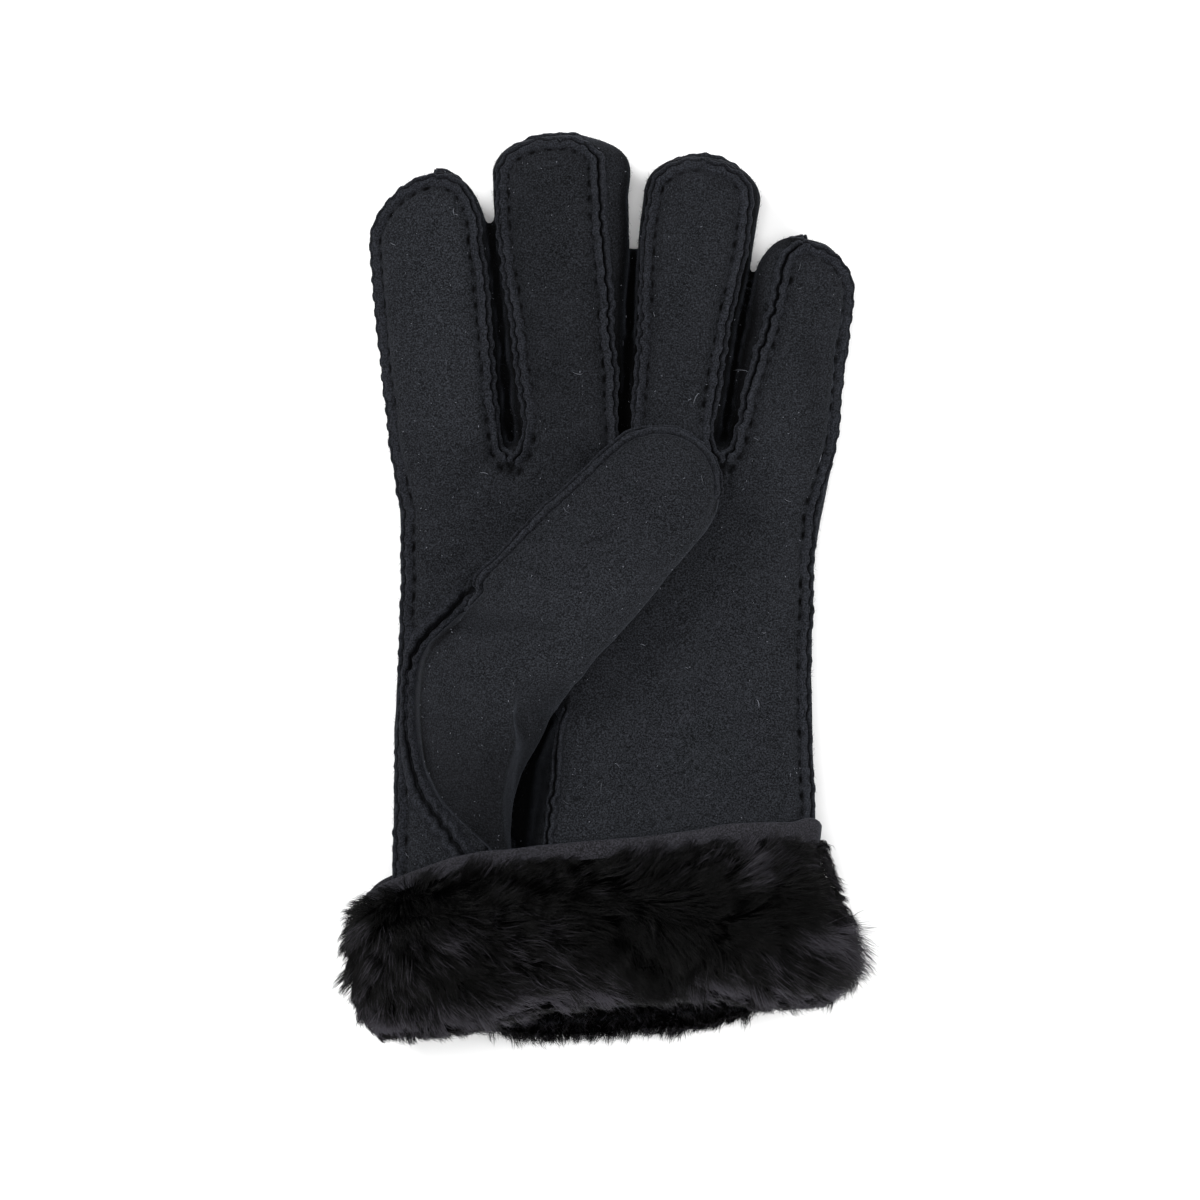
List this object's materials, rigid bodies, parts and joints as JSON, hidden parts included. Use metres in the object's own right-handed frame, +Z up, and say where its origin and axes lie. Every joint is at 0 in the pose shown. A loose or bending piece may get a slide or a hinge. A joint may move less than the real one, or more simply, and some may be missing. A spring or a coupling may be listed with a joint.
{
  "type": "shearling glove",
  "caption": "Hollow sheepskin glove for the left hand, lying palm up with its thumb folded over the palm and its cuff turned up to show the wool.",
  "frame": {"origin": "on the floor under the middle of the glove, on the back panel's flat resting face", "axes": "+X towards the little finger, +Y towards the fingertips, +Z up from the floor, out of the palm"},
  "size_m": [0.1458, 0.2449, 0.0458],
  "materials": {
    "suede": "matt napped suede, dark navy black",
    "hide": "matt suede of the bare band at the turned-up edge",
    "wool": "dense black sheep's wool with a soft sheen"
  },
  "bodies": {
    "root": {"palm_panel": "suede", "back_panel": "suede", "fourchette_index_middle": "suede", "fourchette_middle_ring": "suede", "fourchette_ring_little": "suede", "thumb": "suede", "cuff_band": "hide", "cuff_wool": "wool"}
  },
  "joints": []
}
